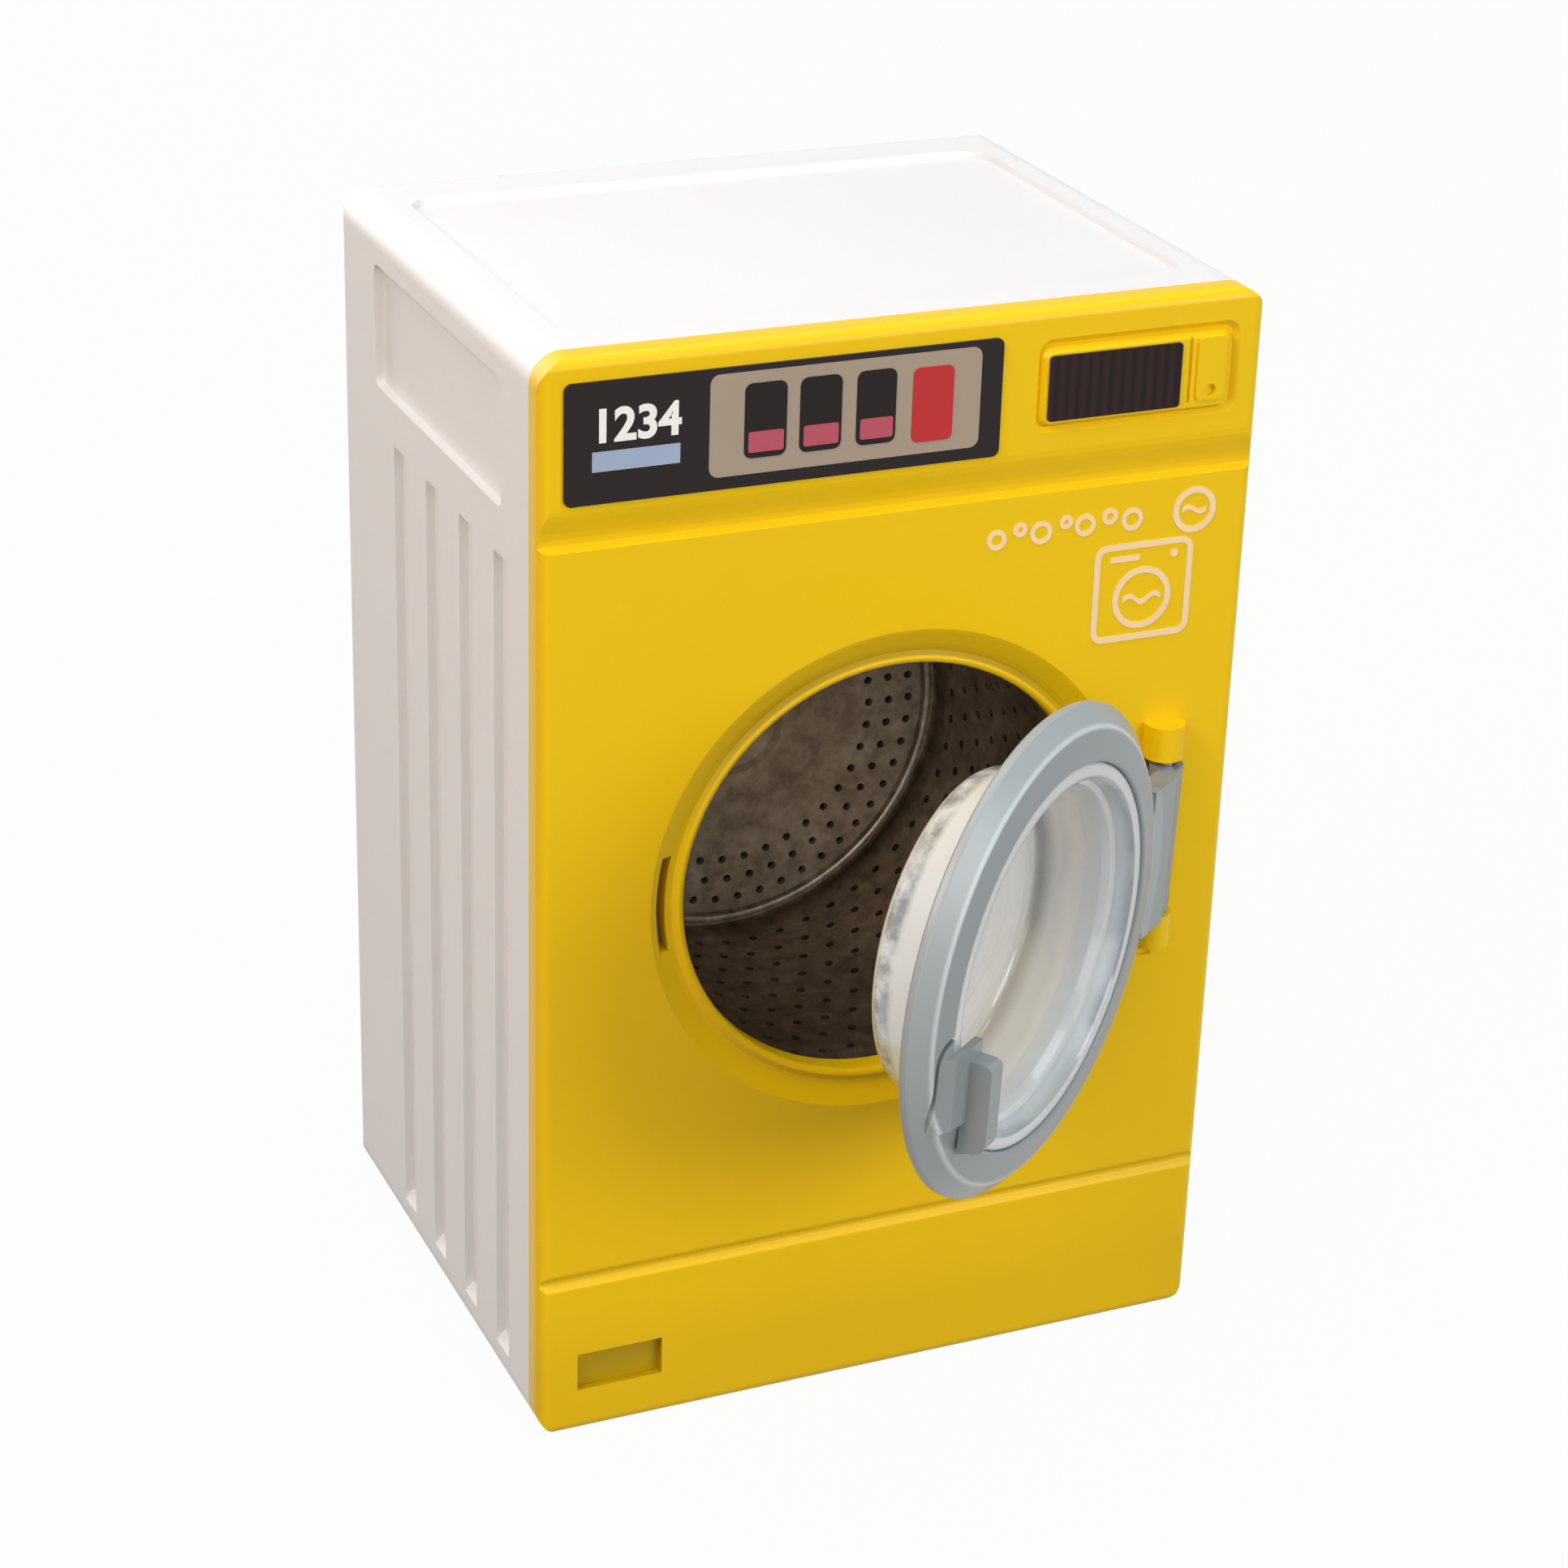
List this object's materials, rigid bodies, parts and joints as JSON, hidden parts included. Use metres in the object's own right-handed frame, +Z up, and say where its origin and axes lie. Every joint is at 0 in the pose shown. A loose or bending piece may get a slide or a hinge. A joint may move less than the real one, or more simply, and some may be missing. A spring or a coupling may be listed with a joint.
{
  "type": "toy front-loading washing machine",
  "caption": "Miniature front-loading washing machine: white cabinet, yellow front with control labels, hinged grey porthole door with clear bowl window, turning perforated metal drum.",
  "frame": {"origin": "centre of the cabinet's base, on the surface it stands on", "axes": "+Z up, the front with the door faces -Y, +X to the right when looking at the front"},
  "size_m": [0.039, 0.049, 0.06],
  "materials": {
    "white_plastic": "smooth white moulded plastic",
    "yellow_plastic": "smooth warm yellow moulded plastic",
    "label_black": "glossy printed label",
    "display_dark": "glossy printed label with fine stripes",
    "bush_plastic": "natural bearing plastic",
    "screw_steel": "plain steel",
    "pin_steel": "plain steel",
    "shaft_steel": "plain steel",
    "drum_metal": "dull warm-grey perforated sheet metal",
    "door_grey": "satin grey moulded plastic",
    "window_clear": "clear moulded plastic"
  },
  "bodies": {
    "cabinet": {"cabinet_shell": "white_plastic", "front_panel": "yellow_plastic", "back_cover": "white_plastic", "cover_screws": "screw_steel", "control_label": "label_black", "display_label": "display_dark", "shaft_bush": "bush_plastic", "hinge_pin": "pin_steel"},
    "drum": {"drum_shell": "drum_metal", "drum_back_disc": "drum_metal", "drum_shaft": "shaft_steel", "shaft_washer": "shaft_steel", "shaft_screw": "shaft_steel"},
    "door": {"door_ring": "door_grey", "door_window": "window_clear", "door_back_ring": "door_grey", "door_handle": "door_grey"}
  },
  "joints": [
    {"name": "door_hinge", "type": "hinge", "parent": "cabinet", "child": "door", "pos_m": [0.01535, -0.01611, 0.02986], "axis": [0.0205, -0.0282, 0.9994], "range_deg": [-36, 84]},
    {"name": "drum_spin", "type": "hinge", "parent": "cabinet", "child": "drum", "pos_m": [0, 0, 0.0297], "axis": [0, 1, 0], "continuous": true}
  ]
}
